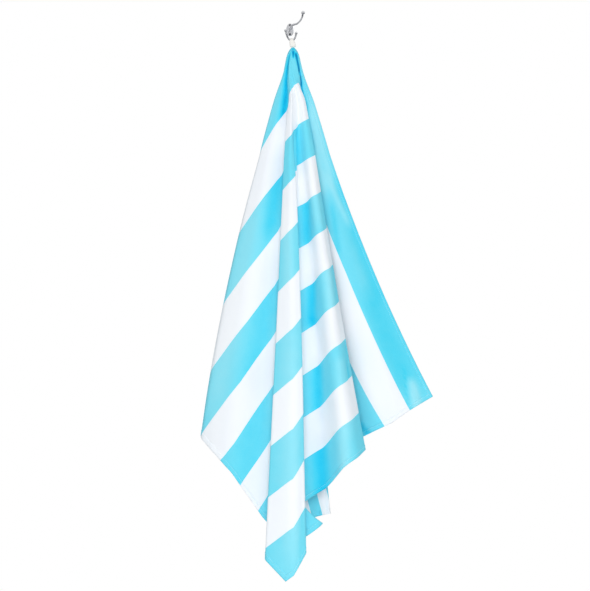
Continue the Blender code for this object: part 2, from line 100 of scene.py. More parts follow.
# Further down than these, the angles and the places out stay as they are, and the cloth
# hangs its whole share.
ANGLE_REACH = TABLE_PLACES[2] + 0.05
OUT_REACH = 1.0
HANG_FULL = 0.5

# Near the hem, the ear fold and the tuck before it swing out to the right.
EAR_STARTS = 0.995
EAR_ENDS = 1.073
EAR_FLIPS = (("ear_fold", 49 * MM), ("tuck_two", 24 * MM))
EAR_CURVE = 1.3
EAR_REACH = 1.3

# The bunched top is a round dome, drawn in a little more tightly than the solid's, and the
# folds grow out of it.
DOME_ROUND = 7 * MM
DOME_HALF_WIDTH = 8.5 * MM
DOME_HALF_DEPTH = 8.5 * MM
DOME_WIDENS = 0.22
DOME_DEEPENS = 0.11
FOLDS_START = 15 * MM
FOLDS_FULL = 130 * MM
TOP_SPREAD = 0.85

SECTION_STEP = 10 * MM
SECTION_REACH = 1.26         # past the corner that is furthest from the loop
FIRST_SECTION = 2 * MM
LEAST_DROP = 0.15            # the least that the cloth falls, as a share of a step
BEND_POINTS = 6
STRAIGHT_POINTS = 4
PANEL_POINTS = 2 * BEND_POINTS + STRAIGHT_POINTS
LAST_POINT = LAST_FOLD * PANEL_POINTS
EDGE_SHARE = 0.1
ROUNDING_PASSES = 16
ROUNDING_PACE = 0.7
HAIRPIN_ROUND = 0.40
LEAST_BEND = 0.20            # shares of the shorter panel beside a bend
MOST_BEND = 0.48
PANEL_COLUMNS = (0, 1, 2, 4, 6, 8, 10, 12, 14, 15)
CORNER_CLEAR = 0.4           # columns this near a hem corner's own are left out
ROW_COUNT = 130
ROW_CROWDING = 1.3
NEAREST = 0.2 * MM           # the nearest to the loop that a place lies
FACING_REACH = 1.5 * MM      # how far to each side the cloth's facing is felt for
FACING_NEAREST = 4 * MM

# Gathers that take up the slack cloth of the layers behind, between two folds.
GATHERS = (
    # first fold     gathers  height (mm)
    ("left_edge",    3,       2.6),
    ("front_side",   5,       3.0),
    ("back_one",     5,       3.0),
    ("back_two",     6,       3.2),
    ("back_three",   4,       3.2),
    ("far_corner",   4,       3.2),
    ("back_four",    3,       2.4),
    ("right_inner",  2,       1.6),
)
GATHER_COLUMNS = 5           # for each gather
SPARE_COLUMNS = 2            # for each gathered panel, besides those
GATHER_FADE = 5.0            # they fade out over a fifth of the panel at a fold
GATHERS_START = 0.12
GATHERS_GROW = 0.35
GATHER_SWAY = 0.35
GATHER_SWAY_RATE = 9.0

# Broad panels in plain sight, which need more columns for their creases to be smooth.
BROAD_PANELS = (
    # first fold     columns in its first bend, its flat part and its last bend
    ("left_inner",   6,  12, 6),
    ("left_side",    6,  4,  6),
    ("left_swell",   6,  4,  6),
    ("right_dip",    8,  6,  8),
    ("right_crest",  9,  8,  4),
)

# Creases too small for the fold table, each a soft ridge or trough along a line on the
# flat cloth.  Down and angle are for its two ends, and lift is towards the room.  Tone is
# painted shade and highlight in the cloth's colour: above 0 it paints a trough deeper as
# shade, and below 0 it paints a ridge paler as a highlight.  Tones that meet are added up.
CREASES = (
    # down (m)        angle (degrees)   width (mm)  lift (mm)  tone
    # the left half
    ((0.006, 0.190),  (80.0, 32.0),     9.0,        -2.0,      1.25),
    ((0.006, 0.080),  (66.0, 47.0),     4.5,        -0.6,      0.90),
    ((0.150, 0.270),  (31.0, 33.0),     12.0,       -1.0,      0.30),
    ((0.210, 0.450),  (33.0, 34.0),     24.0,       -2.5,      0.70),
    ((0.400, 0.800),  (34.5, 37.8),     40.0,       -2.0,      0.35),
    ((0.640, 1.020),  (36.5, 38.5),     55.0,       -2.0,      0.30),
    ((0.260, 0.900),  (23.5, 30.0),     42.0,       1.5,       -0.65),
    ((0.060, 0.260),  (12.0, 20.0),     14.0,       1.0,       -0.25),
    ((0.560, 0.860),  (40.5, 41.8),     14.0,       1.0,       -0.20),
    ((0.800, 0.960),  (30.0, 31.5),     12.0,       1.5,       -0.25),
    # the middle lobe
    ((0.330, 0.600),  (52.6, 51.4),     18.0,       1.0,       -0.75),
    ((0.520, 1.250),  (51.6, 50.2),     30.0,       1.0,       -0.70),
    ((0.960, 1.120),  (48.6, 48.9),     5.0,        -0.8,      0.25),
    ((0.940, 1.160),  (52.4, 52.0),     6.0,        -0.8,      0.25),
    # the valley beside it
    ((0.150, 0.310),  (64.0, 68.5),     20.0,       -1.5,      0.55),
    ((0.320, 0.460),  (71.5, 68.4),     15.0,       -2.0,      0.75),
    ((0.480, 0.640),  (69.8, 66.6),     16.0,       -3.0,      0.85),
    ((0.590, 0.700),  (67.4, 68.6),     16.0,       -2.0,      0.45),
    ((0.670, 0.860),  (67.6, 66.4),     18.0,       -3.0,      0.85),
    ((0.820, 1.080),  (66.6, 66.0),     26.0,       -4.0,      0.95),
    # the front panel
    ((0.470, 0.640),  (76.4, 74.3),     17.0,       2.0,       -0.80),
    ((0.690, 0.830),  (75.0, 73.0),     18.0,       2.0,       -0.50),
    ((0.800, 0.980),  (74.0, 71.6),     24.0,       2.0,       -0.80),
    ((0.240, 0.440),  (76.5, 75.5),     14.0,       1.5,       -0.50),
    ((0.670, 0.790),  (78.2, 76.4),     6.0,        -1.0,      0.60),
    # the edge of the front panel, and the layer that shows behind it at the top
    ((0.006, 0.070),  (105.0, 133.0),   7.0,        -1.0,      2.20),
    ((0.038, 0.094),  (124.0, 166.0),   8.0,        -1.0,      1.90),
    ((0.062, 0.150),  (158.0, 171.0),   5.0,        -1.0,      1.20),
    ((0.002, 0.028),  (84.0, 91.0),     3.0,        -1.2,      2.10),
    ((0.110, 0.250),  (167.0, 170.5),   6.0,        -1.0,      0.90),
    # the right half
    ((0.080, 0.340),  (177.2, 176.3),   11.0,       0.8,       -0.75),
    ((0.120, 0.360),  (174.0, 170.6),   14.0,       1.0,       -0.85),
    ((0.270, 0.430),  (173.0, 177.8),   11.0,       1.5,       -0.85),
    ((0.340, 0.480),  (173.0, 169.6),   9.0,        -1.0,      0.35),
    ((0.260, 0.620),  (178.6, 178.4),   20.0,       -1.0,      0.45),
    ((0.520, 0.840),  (176.0, 176.6),   50.0,       -1.5,      0.50),
    ((0.765, 0.875),  (177.8, 175.4),   13.0,       2.0,       -1.50),
    ((0.735, 0.845),  (177.6, 173.9),   3.5,        -0.8,      0.30),
    ((0.810, 0.870),  (164.0, 166.5),   8.0,        -2.0,      0.85),
    ((0.700, 0.830),  (168.0, 169.6),   14.0,       1.0,       -0.35),
    ((0.560, 0.840),  (171.8, 172.4),   12.0,       1.0,       -0.30),
    # the layers behind, which show from the wall's side and from either end
    ((0.200, 0.700),  (5.0, 8.0),       14.0,       2.0,       -0.50),
    ((0.300, 0.800),  (11.0, 17.0),     16.0,       -2.5,      0.55),
    ((0.420, 0.880),  (19.0, 22.5),     12.0,       1.8,       -0.40),
    ((0.400, 0.960),  (88.0, 90.0),     18.0,       -2.0,      0.60),
    ((0.350, 1.000),  (100.0, 101.0),   18.0,       2.0,       -0.45),
    ((0.450, 1.100),  (112.0, 114.0),   18.0,       -2.0,      0.55),
    ((0.400, 1.050),  (128.0, 128.5),   16.0,       2.0,       -0.45),
    ((0.380, 0.940),  (139.0, 141.0),   16.0,       -2.0,      0.55),
    ((0.360, 0.900),  (147.5, 148.0),   12.0,       1.5,       -0.40),
    ((0.330, 0.860),  (154.0, 155.5),   14.0,       -1.0,      0.50),
)
CREASE_FADE = 4.0            # they fade out over the last quarter of their length
# Painted shade in the bunched top, fading out over its first 14 mm down.
TOP_PAINTED_SHADE = 0.45              # where the cloth is gathered tight at the loop
TOP_PAINTED_SHADE_PLACE = 14 * MM
PALEST_TONE = -1.0
DEEPEST_TONE = 1.5
# Painted shade along the hem's rounded outer edge, deepest at the edge and gone 3 mm in.
HEM_EDGE_SHADE = 0.30              # the pressed edge of the hem
HEM_EDGE_SHADE_WIDTH = 3 * MM

# Where plain cloth lies along the two colour ramps, and how far its painted shade and
# highlight and its brushed patches move it
PLAIN_TONE = 0.39
TONE_OF_PAINTED_SHADING = 0.4
TONE_OF_BRUSHED = -0.06

HEM_WIDTH = 11 * MM
HEM_THICK = 2.6 * MM
HEM_STEP = 6 * MM
HEM_FACE = (
    # in from the edge        rise, as a share of the hem's thickness
    (HEM_WIDTH,               0.30),
    (HEM_WIDTH - 1.2 * MM,    0.46),
    (2.5 * MM,                0.50),
    (0.7 * MM,                0.40),
)
STITCH_INSET = 8.5 * MM
STITCH_PITCH = 4.0 * MM
STITCH_LENGTH = 3.0 * MM
STITCH_HALF_CROWN = 0.7 * MM
SHORTEST_PITCH = 0.4 * STITCH_PITCH     # a sharp crease swallows the stitches that would be
LONGEST_PITCH = 1.6 * STITCH_PITCH      # closer or further apart than these
THREAD_RADIUS = 0.2 * MM

# The loop's tape, over the hook's saddle and down to the cloth
TAPE_THICK = 1.2 * MM
TAPE_WIDTH_TOP = 6.6 * MM
TAPE_WIDTH_LOW = 12.6 * MM
TAPE_WIDENS = 1.9            # it starts to widen just below its top, and has its full width
TAPE_HOLDS = 0.05            # a little past halfway down
TAPE_ACROSS = 13             # points across each face
TAPE_EDGE_POWER = 12         # rounds the edges and leaves the faces flat
TAPE_SELVEDGE = 0.25 * MM    # the woven edge stands this much thicker
SELVEDGE_SHARE = 0.12
TAPE_RIPPLE = 0.12 * MM
RIPPLE_LENGTH = 2.6 * MM
RIPPLE_SLANT = 2.5
LOOP_HALF_DEPTH = 4.2 * MM
LOOP_SQUARENESS = 3.4        # the power that keeps the legs apart down to the foot
OVER_POINTS = 25             # over the saddle
LEG_POINTS = 32              # down each leg
GAP = 0.3 * MM
SADDLE = Vector((3.4 * MM, -40 * MM, -24.5 * MM))
SADDLE_RADIUS = 2.0 * MM
TACK_ROWS = (2.2 * MM, 3.6 * MM)     # heights of the two bar tacks above the foot
TACK_HEIGHT = 0.9 * MM
TACK_PITCH = 0.55 * MM
TACK_SHARE = 0.8             # of the tape's width

# Points nearer together than these are joined.
CLOTH_JOIN = 0.02 * MM
HEM_JOIN = 0.002 * MM
TAPE_JOIN = 0.01 * MM

FLOOR_SIZE = 2.6
FLOOR_HEIGHT = -1.42
ROOM_LIGHT = 0.43
LAMP_AIM = Vector((0.0, -0.08, -0.6))
LAMPS = (
    # name      place                size  power
    ("front",   (0.1, -4.6, -0.2),   2.4,  101.0),
    ("right",   (2.2, -3.2, 0.5),    1.5,  16.0),
    ("left",    (-1.7, -3.6, 0.3),   1.5,  15.0),
    ("behind",  (0.1, 4.2, 0.2),     2.4,  75.0),
)
MIRRORED_LAMPS = ("right", "left")   # the ones that polished metal shows

# The photograph's framing, in pixels, and the long lens that gives it
PICTURE_WIDTH = 590
PIXELS_A_METRE = 454.0
HOOK_LEFT_OF_MIDDLE = 5.0
HOOK_ABOVE_MIDDLE = 267.5
SCALE_DEPTH = 0.08           # how far out from the wall that scale is true
CAMERA_DISTANCE = 12.0
SENSOR_WIDTH = 36.0


# ---- how the cloth hangs

def soft_step(value):
    """0 up to 0 and 1 from 1 on, with a soft rise between."""
    value = np.clip(value, 0.0, 1.0)
    return value * value * (3.0 - 2.0 * value)


def along_fold(values, down):
    """A parabola through a fold's three values, carried straight on beyond the last."""
    near, middle, far = values
    step = TABLE_PLACES[1] - TABLE_PLACES[0]
    reach = min(max((down - TABLE_PLACES[0]) / step, 0.0), 2.0)
    bow = reach * (reach - 1.0) * (far - 2.0 * middle + near) / 2.0
    beyond = max(0.0, (down - TABLE_PLACES[2]) / step)
    return near + reach * (middle - near) + bow + beyond * (far - middle)


def fold_angles(down):
    """The angle about the loop of every fold at one distance down."""
    return np.radians([along_fold(row[1], min(down, ANGLE_REACH)) for row in FOLD_TABLE])


def fold_places(down):
    """Across and depth of every fold at one distance down from the loop."""
    spread = min(1.0, (down / TABLE_PLACES[0]) ** TOP_SPREAD)
    across = np.array([along_fold(row[2], down) for row in FOLD_TABLE]) * MM * spread
    ear = min(max((down - EAR_STARTS) / (EAR_ENDS - EAR_STARTS), 0.0), EAR_REACH) ** EAR_CURVE
    for fold, flip in EAR_FLIPS:
        across[FOLD_NAMES.index(fold)] += flip * ear
    out = np.array([along_fold(row[3], min(down, OUT_REACH)) for row in FOLD_TABLE]) * MM
    out = -APEX.y + (out + APEX.y) * spread
    places = np.stack((across, -out), 1)
    starts = np.array([row[4] for row in FOLD_TABLE])
    order = np.arange(LAST_FOLD + 1)
    # Above its start a fold lies straight between its neighbours.  It comes in over the
    # second half of the way down to there.
    there = soft_step(2.0 * down / np.maximum(starts, MM) - 1.0)
    for axis in range(2):
        straight = np.interp(order, order[starts == 0.0], places[starts == 0.0, axis])
        places[:, axis] = straight + (places[:, axis] - straight) * there
    return places


def bend_shares(half_bend, lengths):
    """Where the points lie along each panel: crowded in its bends, few between them."""
    start = np.append(EDGE_SHARE, half_bend / lengths[1:])[:, None]
    end = np.append(half_bend / lengths[:-1], EDGE_SHARE)[:, None]
    point = np.arange(PANEL_POINTS + 1)
    in_start = np.clip(point / BEND_POINTS, 0.0, 1.0)
    between = np.clip((point - BEND_POINTS) / STRAIGHT_POINTS, 0.0, 1.0)
    in_end = np.clip((point - BEND_POINTS - STRAIGHT_POINTS) / BEND_POINTS, 0.0, 1.0)
    return start * in_start + (1.0 - start - end) * between + end * in_end


def pleated_section(down):
    """The cloth's plan there: straight panels between the folds, joined by round bends.

    A round bend cuts its corner, so the passes change the panels a little until the folds
    are back in their places.  Gives each point's place in the fold order too."""
    places = fold_places(down)
    wanted = np.diff(places, axis=0)
    bends = np.array([row[5] for row in FOLD_TABLE[1:-1]])
    spans = np.hypot(wanted[:, 0], wanted[:, 1])
    shorter = np.minimum(spans[1:], spans[:-1])
    hairpin = wanted[1:, 0] * wanted[:-1, 0] < 0.0
    layer = np.minimum(np.abs(wanted[1:, 1]), np.abs(wanted[:-1, 1]))
    widest = np.where(hairpin, HAIRPIN_ROUND * layer, 1.0)
    aim = wanted.copy()
    for _ in range(ROUNDING_PASSES):
        lengths = np.hypot(aim[:, 0], aim[:, 1])
        heading = np.arctan2(aim[:, 1], aim[:, 0])
        turn = np.diff(heading)
        half_bend = np.minimum(bends * shorter, widest * np.abs(turn)) / 2.0
        room = np.minimum(lengths[1:], lengths[:-1])
        half_bend = np.clip(half_bend, 1e-6, MOST_BEND * room)
        shares = bend_shares(np.maximum(half_bend, LEAST_BEND * room), lengths)
        middle = (shares[:, 1:] + shares[:, :-1]) / 2.0 * lengths[:, None]
        course = np.repeat(heading[:, None], PANEL_POINTS, axis=1)
        into = np.clip(1.0 - middle[1:] / half_bend[:, None], 0.0, 1.0)
        onward = np.clip(1.0 - (lengths[:-1, None] - middle[:-1]) / half_bend[:, None], 0.0, 1.0)
        course[1:] -= turn[:, None] / 2.0 * into
        course[:-1] += turn[:, None] / 2.0 * onward
        steps = np.diff(shares, axis=1) * lengths[:, None]
        path = np.stack((np.cumsum(steps * np.cos(course)), np.cumsum(steps * np.sin(course))), 1)
        path = np.vstack(((0.0, 0.0), path))
        aim = aim + ROUNDING_PACE * (wanted - np.diff(path[::PANEL_POINTS], axis=0))
    order = np.append((shares[:, :-1] + np.arange(LAST_FOLD)[:, None]).ravel(), LAST_FOLD)
    return path + places[0], order


def dome_section(down, angles):
    """The bunched top's plan there: half an oval on the room's side of the apex."""
    rounding = 1.0 - math.exp(-down / DOME_ROUND)
    half_width = DOME_HALF_WIDTH * rounding + DOME_WIDENS * down
    half_depth = DOME_HALF_DEPTH * rounding + DOME_DEEPENS * down
    return np.stack((-half_width * np.cos(angles), APEX.y - half_depth * np.sin(angles)), 1)


def hanging_field():
    """Sections all the way down: distances, each point's angle, and its place and fold order.

    What a step along the cloth doesn't go sideways it goes down, so the cloth keeps its
    length, but for the share that each fold hangs."""
    downs = np.arange(0.0, SECTION_REACH + SECTION_STEP / 2, SECTION_STEP)
    folds = np.arange(LAST_FOLD + 1)
    plans, angles, hangs, orders = [], [], [], []
    for down in downs:
        down = max(down, FIRST_SECTION)
        pleated, order = pleated_section(down)
        around = np.interp(order, folds, fold_angles(down))
        folded = soft_step((down - FOLDS_START) / (FOLDS_FULL - FOLDS_START))
        plans.append(dome_section(down, around) * (1.0 - folded) + pleated * folded)
        angles.append(around)
        orders.append(order)
        hangs.append(np.interp(order, folds, [row[6] for row in FOLD_TABLE]))
    plans, angles = np.array(plans), np.array(angles)
    sideways = np.hypot(*np.moveaxis(np.diff(plans, axis=0), 2, 0))
    least = LEAST_DROP * SECTION_STEP
    drop = np.sqrt(np.maximum(SECTION_STEP ** 2 - sideways ** 2, least ** 2))
    height = -np.vstack((np.zeros(LAST_POINT + 1), np.cumsum(drop, axis=0)))
    height *= 1.0 - (1.0 - np.array(hangs)) * soft_step(downs / HANG_FULL)[:, None]
    places = (plans[:, :, 0] + APEX.x, plans[:, :, 1], height + APEX.z, np.array(orders))
    return downs, angles, np.stack(places, 2)


DOWNS, ANGLES, PLACES = hanging_field()


def hung(down, angle):
    """Where places on the cloth hang, from their distances and angles about the loop.

    Gives each place and its share of the way through the fold order."""
    down, angle = (np.asarray(given, float).ravel() for given in (down, angle))
    at = np.clip(down / SECTION_STEP, 0.0, len(DOWNS) - 1.001)
    first = at.astype(int)
    share = at - first
    points = np.zeros((len(down), 4))
    for section in np.unique(first):
        here = first == section
        for row, weight in ((section, 1.0 - share[here]), (section + 1, share[here])):
            for axis in range(4):
                points[here, axis] += weight * np.interp(angle[here], ANGLES[row], PLACES[row, :, axis])
    return points[:, :3], points[:, 3]


def crease_marks(down, angle):
    """For each crease, how strongly it shows at places on the cloth, its lift and its tone of painted
    shade and highlight.
    """
    u, v = down * np.cos(angle), down * np.sin(angle)
    for downs, angles, width, lift, tone in CREASES:
        ends = [np.array((d * math.cos(math.radians(a)), d * math.sin(math.radians(a))))
                for d, a in zip(downs, angles)]
        run = ends[1] - ends[0]
        share = ((u - ends[0][0]) * run[0] + (v - ends[0][1]) * run[1]) / (run @ run)
        held = np.clip(share, 0.0, 1.0)
        away = np.hypot(u - ends[0][0] - held * run[0], v - ends[0][1] - held * run[1])
        taper = soft_step(share * CREASE_FADE) * soft_step((1.0 - share) * CREASE_FADE)
        yield taper * np.exp(-(away / (width * MM)) ** 2), lift * MM, tone


def crease_lift(down, angle, order):
    """How far the small creases and gathers stand out from the cloth."""
    lift = np.zeros(len(down))
    grown = soft_step((down - GATHERS_START) / GATHERS_GROW)
    for first, count, height in GATHERS:
        along = order - FOLD_NAMES.index(first)
        inside = (along > 0.0) & (along < 1.0)
        taper = soft_step(along * GATHER_FADE) * soft_step((1.0 - along) * GATHER_FADE) * grown
        sway = GATHER_SWAY * np.sin(GATHER_SWAY_RATE * down + count)
        lift += inside * taper * height * MM * np.sin(2.0 * math.pi * (count * along + sway))
    for mark, crease, _ in crease_marks(down, angle):
        lift += mark * crease
    return lift


def painted_fold_shading(flat):
    """Painted shade and highlight at places on the flat cloth: shade above 0 and highlight below it."""
    down, angle = np.hypot(flat[:, 0], flat[:, 1]), np.arctan2(flat[:, 1], flat[:, 0])
    tone = TOP_PAINTED_SHADE * (1.0 - soft_step(down / TOP_PAINTED_SHADE_PLACE))
    for mark, _, crease in crease_marks(down, angle):
        tone = tone + mark * crease
    return np.clip(tone, PALEST_TONE, DEEPEST_TONE)


def surface(down, angle):
    """Places on the creased cloth and which way it faces there, towards the room in front."""
    down, angle = (np.asarray(given, float).ravel() for given in (down, angle))
    swing = FACING_REACH / np.maximum(down, FACING_NEAREST)
    low, high = np.maximum(down - FACING_REACH, NEAREST), down + FACING_REACH
    left, right = np.maximum(angle - swing, 0.0), np.minimum(angle + swing, math.pi)
    falls = hung(high, angle)[0] - hung(low, angle)[0]
    turns = hung(down, right)[0] - hung(down, left)[0]
    facing = np.cross(falls, turns)
    facing /= np.maximum(np.linalg.norm(facing, axis=1), 1e-12)[:, None]
    places, order = hung(down, angle)
    return places + facing * crease_lift(down, angle, order)[:, None], facing


# ---- mesh helpers

def mesh_piece(name, points, faces, flat_places=None, painted_shades=None):
    """A piece from points, with their places on the flat cloth (m) and their painted shade tones."""
    mesh = bpy.data.meshes.new(name)
    mesh.from_pydata([tuple(point) for point in points], [], faces)
    if flat_places is not None:
        flat = mesh.uv_layers.new(name="flat_cloth")
        corner = np.empty(len(mesh.loops), int)
        mesh.loops.foreach_get("vertex_index", corner)
        flat.data.foreach_set("uv", np.asarray(flat_places, "f")[corner].ravel())
    # Painted shade and highlight for the cloth's colour, one value a point.
    if painted_shades is not None:
        shade_layer = mesh.attributes.new(name="painted_fold_shading", type="FLOAT", domain="POINT")
        shade_layer.data.foreach_set("value", np.asarray(painted_shades, "f"))
    mesh.shade_smooth()
    made = bpy.data.objects.new(name, mesh)
    bpy.context.scene.collection.objects.link(made)
    return made


def band_faces(count, size):
    """The faces of a closed band: count rings of points round it, each of a given size."""
    faces = []
    for i in range(count):
        here, following = i * size, (i + 1) % count * size
        for j in range(size):
            k = (j + 1) % size
            faces.append((here + j, here + k, following + k, following + j))
    return faces


def join_points(piece, distance, face_out=False):
    """Joins the points that lie together, and turns the faces outward if asked."""
    joined = bmesh.new()
    joined.from_mesh(piece.data)
    bmesh.ops.remove_doubles(joined, verts=joined.verts, dist=distance)
    if face_out:
        bmesh.ops.recalc_face_normals(joined, faces=joined.faces)
    joined.to_mesh(piece.data)
    joined.free()


def finish_piece(piece, material):
    """Gives a piece its material and its slot, and makes it part of the one body."""
    piece.data.materials.append(material)
    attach(piece, "root")
    return piece


# ---- materials

# A Mix node's sockets for colours, by number, since their names are shared
MIX_SHARE = 0
MIX_FIRST = 6
MIX_SECOND = 7
MIX_RESULT = 2


def linear(code):
    """A Blender colour from an sRGB hex code."""
    parts = [int(code[i:i + 2], 16) / 255.0 for i in (0, 2, 4)]
    return tuple(p / 12.92 if p <= 0.04045 else ((p + 0.055) / 1.055) ** 2.4 for p in parts) + (1.0,)


def add(tree, kind, links=None, stops=(), **settings):
    """A node with its settings, and a value or another node's socket for its inputs.

    Stops are the places and colours of a colour ramp."""
    node = tree.nodes.new(kind)
    for name, value in settings.items():
        setattr(node, name, value)
    for name, value in (links or {}).items():
        if isinstance(value, bpy.types.NodeSocket):
            tree.links.new(value, node.inputs[name])
        else:
            node.inputs[name].default_value = value
    for _ in stops[2:]:
        node.color_ramp.elements.new(0.5)
    for i, (place, code) in enumerate(stops):
        node.color_ramp.elements[i].position = place
        node.color_ramp.elements[i].color = linear(code)
    return node


def new_material(name):
    made = bpy.data.materials.new(name)
    made.use_nodes = True
    made.node_tree.nodes.clear()
    return made, made.node_tree


def close_material(tree, links):
    """Ends a material with its surface's shader."""
    shader = add(tree, "ShaderNodeBsdfPrincipled", links)
    add(tree, "ShaderNodeOutputMaterial", {"Surface": shader.outputs[0]})


def striped_microfibre():
    """Woven microfibre with a short brushed nap: matt, soft, and paler where it is brushed, with
    painted shade in its folds and painted highlights on its ridges.
    """
    made, tree = new_material("striped_microfibre")
    flat = add(tree, "ShaderNodeUVMap", uv_map="flat_cloth").outputs["UV"]
    place = add(tree, "ShaderNodeSeparateXYZ", {"Vector": flat})
    # The dye creeps up to half a millimetre over a stripe's edge, yarn by yarn.
    creep = add(tree, "ShaderNodeTexNoise", {"Vector": flat, "Scale": 1 / (2.0 * MM), "Detail": 2.0})
    crept = add(tree, "ShaderNodeMath",
                {0: creep.outputs["Fac"], 1: DYE_CREEP, 2: place.outputs["Y"]},
                operation="MULTIPLY_ADD")
    shifted = add(tree, "ShaderNodeMath",
                  {0: crept.outputs[0], 1: STRIPE / 2 - DYE_CREEP / 2}, operation="ADD")
    to_blue = add(tree, "ShaderNodeMath", {0: shifted.outputs[0], 1: STRIPE}, operation="PINGPONG")
    white = add(tree, "ShaderNodeMapRange",
                {"Value": to_blue.outputs[0], "From Min": STRIPE / 2 + EDGE_SOFT,
                 "From Max": STRIPE / 2 - EDGE_SOFT})
    # Nap: brushed patches 25 mm across, and fibre tufts of 3 mm.
    patches = add(tree, "ShaderNodeTexNoise", {"Vector": flat, "Scale": 1 / (25 * MM), "Detail": 3.0})
    tufts = add(tree, "ShaderNodeTexNoise", {"Vector": flat, "Scale": 1 / (3 * MM), "Detail": 2.0})
    mixed = add(tree, "ShaderNodeMath",
                {0: patches.outputs["Fac"], 1: tufts.outputs["Fac"]}, operation="ADD")
    brushed = add(tree, "ShaderNodeMapRange",
                  {"Value": mixed.outputs[0], "From Min": 0.7, "From Max": 1.3})
    # Painted shade and highlight: the colour is painted deeper in a fold's trough and paler over a
    # ridge, from the per-point painted shading attribute.
    fold_shade_attribute = add(tree, "ShaderNodeAttribute", attribute_type="GEOMETRY", attribute_name="painted_fold_shading")
    tone = add(tree, "ShaderNodeMath",
               {0: fold_shade_attribute.outputs["Fac"], 1: TONE_OF_PAINTED_SHADING, 2: PLAIN_TONE}, operation="MULTIPLY_ADD")
    tone = add(tree, "ShaderNodeMath",
               {0: brushed.outputs[0], 1: TONE_OF_BRUSHED, 2: tone.outputs[0]},
               operation="MULTIPLY_ADD")
    # Both ramps run from a painted highlight at 0, through plain cloth near 0.4, to painted shade at 1.
    blue = add(tree, "ShaderNodeValToRGB", {"Fac": tone.outputs[0]},
               stops=((0.0, "98E6F5"), (0.4, "6EDCF2"), (0.6, "4AD4F0"), (0.8, "16C4EB"),
                      (1.0, "007CBA")))
    pale = add(tree, "ShaderNodeValToRGB", {"Fac": tone.outputs[0]},
               stops=((0.0, "F7FAFD"), (0.4, "F3F7FC"), (0.8, "E6EDF6"), (1.0, "D0DCEA")))
    colour = add(tree, "ShaderNodeMix",
                 {MIX_SHARE: white.outputs[0], MIX_FIRST: blue.outputs["Color"],
                  MIX_SECOND: pale.outputs["Color"]}, data_type="RGBA")
    # Thread crossings 0.6 mm apart, drawn at 1.4 mm so that they show.
    threads = []
    for axis in ("X", "Y"):
        turns = add(tree, "ShaderNodeMath",
                    {0: place.outputs[axis], 1: 2 * math.pi / (1.4 * MM)}, operation="MULTIPLY")
        threads.append(add(tree, "ShaderNodeMath", {0: turns.outputs[0]}, operation="SINE"))
    weave = add(tree, "ShaderNodeMath",
                {0: threads[0].outputs[0], 1: threads[1].outputs[0]}, operation="MULTIPLY")
    weave_bump = add(tree, "ShaderNodeBump",
                     {"Height": weave.outputs[0], "Strength": 0.25, "Distance": 0.12 * MM})
    nap_bump = add(tree, "ShaderNodeBump",
                   {"Height": tufts.outputs["Fac"], "Strength": 0.35, "Distance": 0.5 * MM,
                    "Normal": weave_bump.outputs[0]})
    rough = add(tree, "ShaderNodeMapRange",
                {"Value": brushed.outputs[0], "To Min": 0.96, "To Max": 0.84})
    close_material(tree, {"Base Color": colour.outputs[MIX_RESULT], "Roughness": rough.outputs[0],
                          "Normal": nap_bump.outputs[0], "Sheen Weight": 0.2, "Sheen Roughness": 0.6,
                          "Sheen Tint": linear("B4F0FF"), "IOR": 1.5, "Specular IOR Level": 0.1})
    return made


def cotton_tape():
    """Woven cotton herringbone tape: matt, off-white, with a fine slanting rib."""
    made, tree = new_material("cotton_tape")
    place = add(tree, "ShaderNodeTexCoord").outputs["Object"]
    # Herringbone ribs 0.8 mm apart along the tape, drawn at 2.4 mm so that they show.  At
    # scale 1 a wave's slanting bands come every 0.628 m.
    ribs = add(tree, "ShaderNodeTexWave",
               {"Vector": place, "Scale": 0.628 / (2.4 * MM), "Distortion": 0.6, "Detail": 1.0,
                "Detail Scale": 2.0}, wave_type="BANDS", bands_direction="DIAGONAL")
    fibres = add(tree, "ShaderNodeTexNoise", {"Vector": place, "Scale": 1 / (0.8 * MM), "Detail": 3.0})
    shade = add(tree, "ShaderNodeMix",
                {MIX_SHARE: fibres.outputs["Fac"], MIX_FIRST: linear("E9E5DE"),
                 MIX_SECOND: linear("F7F5F0")}, data_type="RGBA")
    bump = add(tree, "ShaderNodeBump",
               {"Height": ribs.outputs["Fac"], "Strength": 0.3, "Distance": 0.10 * MM})
    close_material(tree, {"Base Color": shade.outputs[MIX_RESULT], "Roughness": 0.9,
                          "Normal": bump.outputs[0], "Sheen Weight": 0.15, "Specular IOR Level": 0.25})
    return made


def polyester_thread(name, code):
    """Spun polyester sewing thread: a faint sheen and a twist."""
    made, tree = new_material(name)
    place = add(tree, "ShaderNodeTexCoord").outputs["Object"]
    twist = add(tree, "ShaderNodeTexNoise", {"Vector": place, "Scale": 1 / (0.7 * MM), "Detail": 2.0})
    rough = add(tree, "ShaderNodeMapRange",
                {"Value": twist.outputs["Fac"], "To Min": 0.55, "To Max": 0.75})
    bump = add(tree, "ShaderNodeBump",
               {"Height": twist.outputs["Fac"], "Strength": 0.4, "Distance": 0.1 * MM})
    close_material(tree, {"Base Color": linear(code), "Roughness": rough.outputs[0],
                          "Normal": bump.outputs[0], "Sheen Weight": 0.2})
    return made


